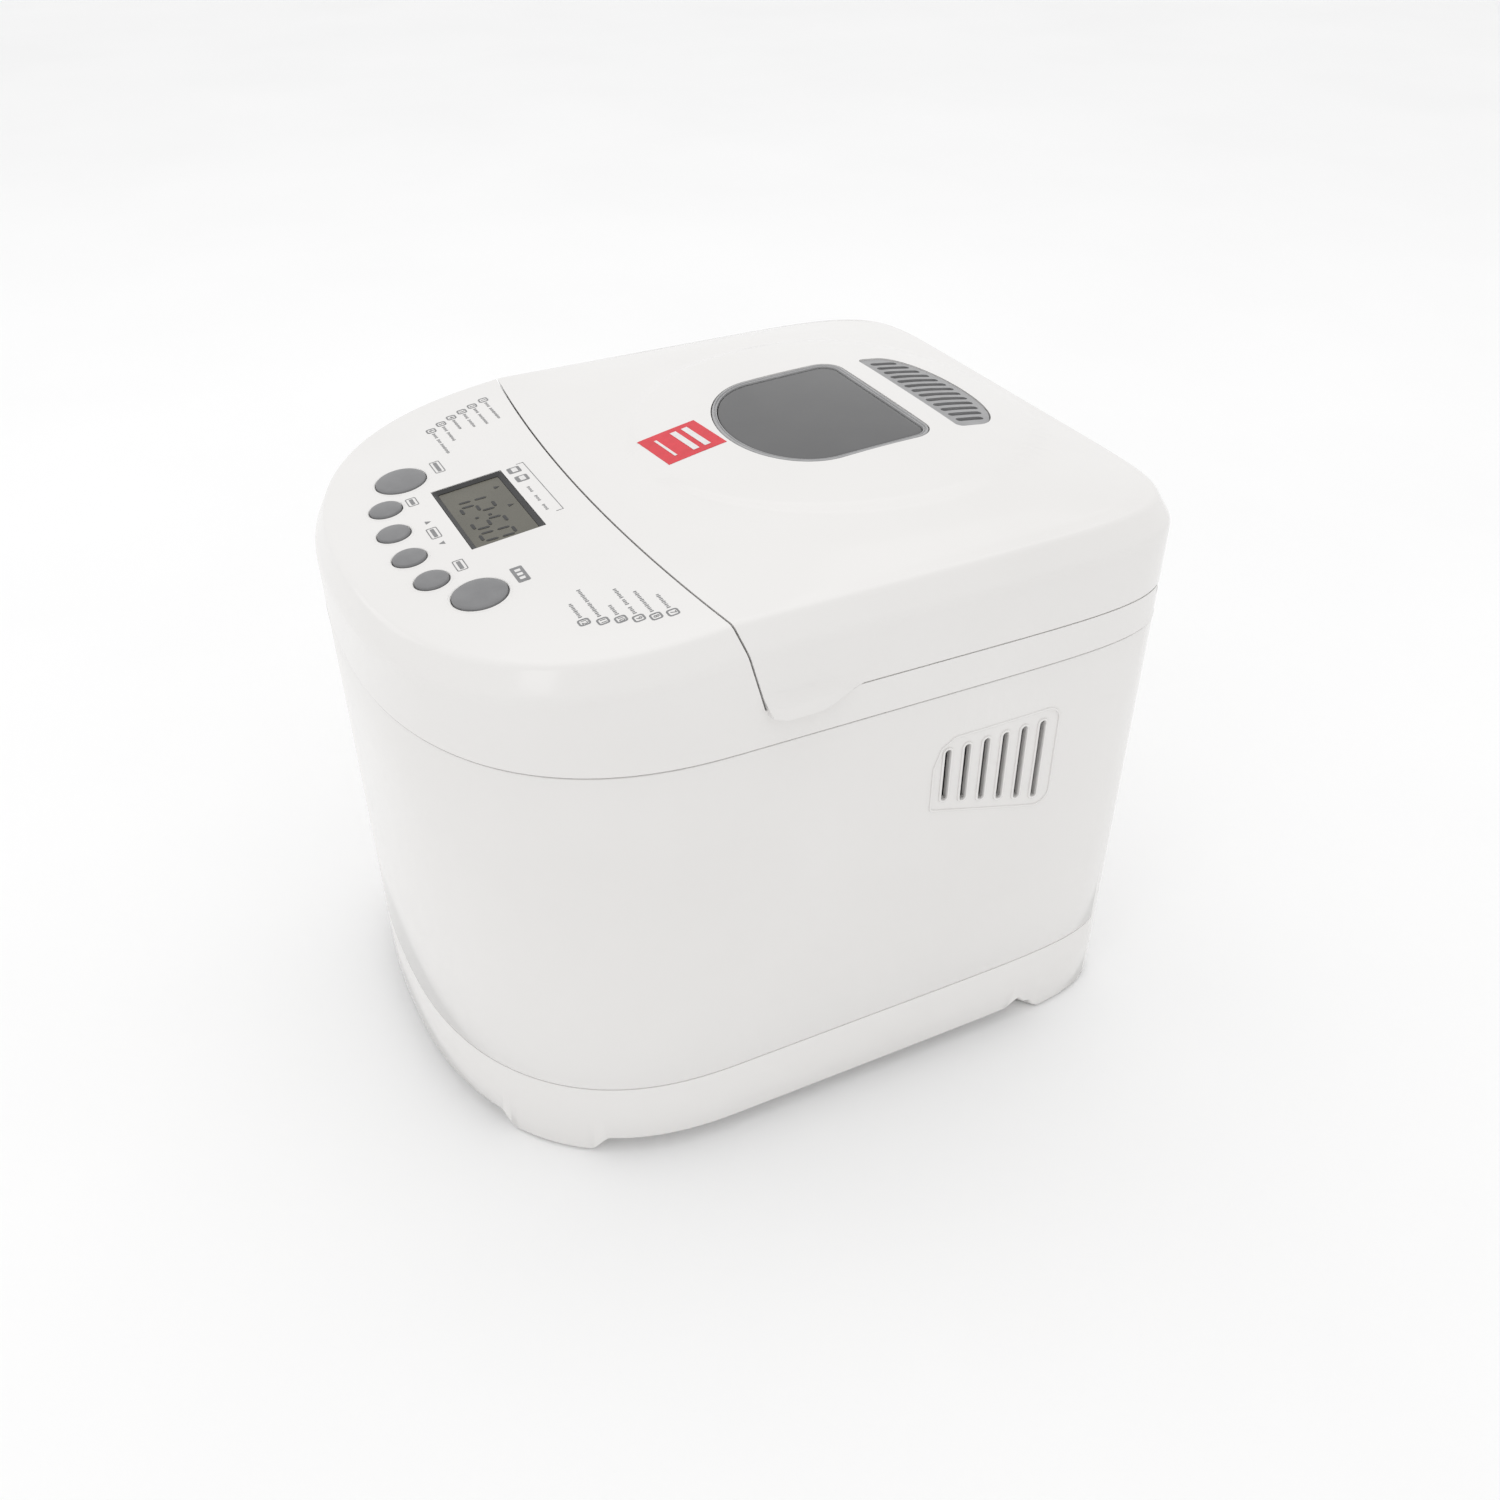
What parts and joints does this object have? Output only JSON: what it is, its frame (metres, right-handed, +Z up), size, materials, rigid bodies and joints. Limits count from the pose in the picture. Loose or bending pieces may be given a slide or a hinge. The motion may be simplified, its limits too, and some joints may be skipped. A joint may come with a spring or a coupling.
{
  "type": "bread machine",
  "caption": "Counter-top bread maker with a rear-hinged lid, viewing window, sloping control panel, oven chamber, removable pan and belt-driven kneading paddle.",
  "frame": {"origin": "centre of the footprint, on the surface that the machine stands on", "axes": "+Z up, -Y towards the control panel, +Y towards the lid hinge, +X to the right of someone facing the panel"},
  "size_m": [0.2718, 0.316, 0.2641],
  "materials": {
    "white_plastic": "glossy moulded white",
    "grey_plastic": "satin mid grey",
    "window_trim": "satin light grey",
    "dark_plastic": "moulded black",
    "glass": "tinted, polished",
    "steel": "plain sheet and bar",
    "coated_metal": "dark non-stick coating",
    "rubber": "matte",
    "circuit_board": "green solder mask",
    "ceramic_white": "glazed"
  },
  "bodies": {
    "casing": {"base": "white_plastic", "foot_pad_front_left": "rubber", "foot_pad_front_right": "rubber", "foot_pad_rear_left": "rubber", "foot_pad_rear_right": "rubber", "base_screw_front_left": "steel", "base_screw_front_right": "steel", "base_screw_rear_left": "steel", "base_screw_rear_right": "steel", "body_shell": "white_plastic", "top_frame": "white_plastic", "display_window": "glass", "display_module": "dark_plastic", "control_board": "circuit_board", "menu_switch": "dark_plastic", "start_stop_switch": "dark_plastic", "loaf_size_switch": "dark_plastic", "time_up_switch": "dark_plastic", "time_down_switch": "dark_plastic", "crust_switch": "dark_plastic", "oven_chamber": "steel", "heating_element": "steel", "element_clip_left": "steel", "element_clip_right": "steel", "temperature_sensor": "steel", "thermal_fuse": "ceramic_white", "pan_clip_left": "steel", "pan_clip_right": "steel", "bearing_housing": "dark_plastic", "chassis": "steel", "motor": "steel", "drive_belt": "rubber", "power_board": "circuit_board", "cord_inlet": "dark_plastic", "hinge_pin_left": "steel", "hinge_pin_right": "steel"},
    "lid": {"lid_outer": "white_plastic", "window_pane": "glass", "window_bezel": "window_trim", "inner_window_pane": "glass", "lid_vent_grille": "grey_plastic", "lid_liner": "steel"},
    "pan": {"bread_pan": "coated_metal", "pan_foot_ring": "coated_metal", "pan_shaft_bush": "steel"},
    "handle": {"pan_handle": "steel"},
    "paddle": {"kneading_paddle": "coated_metal", "pan_shaft": "steel"},
    "drive": {"drive_shaft": "steel", "drive_coupler": "dark_plastic", "large_pulley": "dark_plastic"},
    "motor_rotor": {"motor_shaft": "steel", "motor_pulley": "dark_plastic"},
    "menu": {"menu_button": "grey_plastic"},
    "start_stop": {"start_stop_button": "grey_plastic"},
    "loaf_size": {"loaf_size_button": "grey_plastic"},
    "time_up": {"time_up_button": "grey_plastic"},
    "time_down": {"time_down_button": "grey_plastic"},
    "crust": {"crust_button": "grey_plastic"}
  },
  "joints": [
    {"name": "lid_hinge", "type": "hinge", "parent": "casing", "child": "lid", "pos_m": [0, 0.1515, 0.2195], "axis": [-1, 0, 0], "range_deg": [0, 95]},
    {"name": "pan_lift", "type": "slide", "parent": "casing", "child": "pan", "axis": [0, 0, 1], "range_m": [0, 0.01]},
    {"name": "handle_swing", "type": "hinge", "parent": "pan", "child": "handle", "pos_m": [0, 0.05, 0.19], "axis": [-1, 0, 0], "range_deg": [0, 90]},
    {"name": "drive_spin", "type": "hinge", "parent": "casing", "child": "drive", "pos_m": [0, 0.05, 0.027], "axis": [0, 0, 1], "continuous": true},
    {"name": "paddle_spin", "type": "hinge", "parent": "pan", "child": "paddle", "pos_m": [0, 0.05, 0.095], "axis": [0, 0, 1], "continuous": true},
    {"name": "motor_spin", "type": "hinge", "parent": "casing", "child": "motor_rotor", "pos_m": [0, -0.098, 0.027], "axis": [0, 0, 1], "continuous": true},
    {"name": "menu_press", "type": "slide", "parent": "casing", "child": "menu", "axis": [0, 0.126, -0.992], "range_m": [0, 0.001], "stiffness_N_per_m": 800, "springref_m": -0.0005},
    {"name": "start_stop_press", "type": "slide", "parent": "casing", "child": "start_stop", "axis": [0, 0.126, -0.992], "range_m": [0, 0.001], "stiffness_N_per_m": 800, "springref_m": -0.0005},
    {"name": "loaf_size_press", "type": "slide", "parent": "casing", "child": "loaf_size", "axis": [0, 0.126, -0.992], "range_m": [0, 0.001], "stiffness_N_per_m": 800, "springref_m": -0.0005},
    {"name": "time_up_press", "type": "slide", "parent": "casing", "child": "time_up", "axis": [0, 0.126, -0.992], "range_m": [0, 0.001], "stiffness_N_per_m": 800, "springref_m": -0.0005},
    {"name": "time_down_press", "type": "slide", "parent": "casing", "child": "time_down", "axis": [0, 0.126, -0.992], "range_m": [0, 0.001], "stiffness_N_per_m": 800, "springref_m": -0.0005},
    {"name": "crust_press", "type": "slide", "parent": "casing", "child": "crust", "axis": [0, 0.126, -0.992], "range_m": [0, 0.001], "stiffness_N_per_m": 800, "springref_m": -0.0005}
  ],
  "couplings": [
    {"joint": "handle_swing", "follows": "lid_hinge", "ratio": 0.94},
    {"joint": "paddle_spin", "follows": "drive_spin", "ratio": 1},
    {"joint": "motor_spin", "follows": "drive_spin", "ratio": 4.2967}
  ]
}
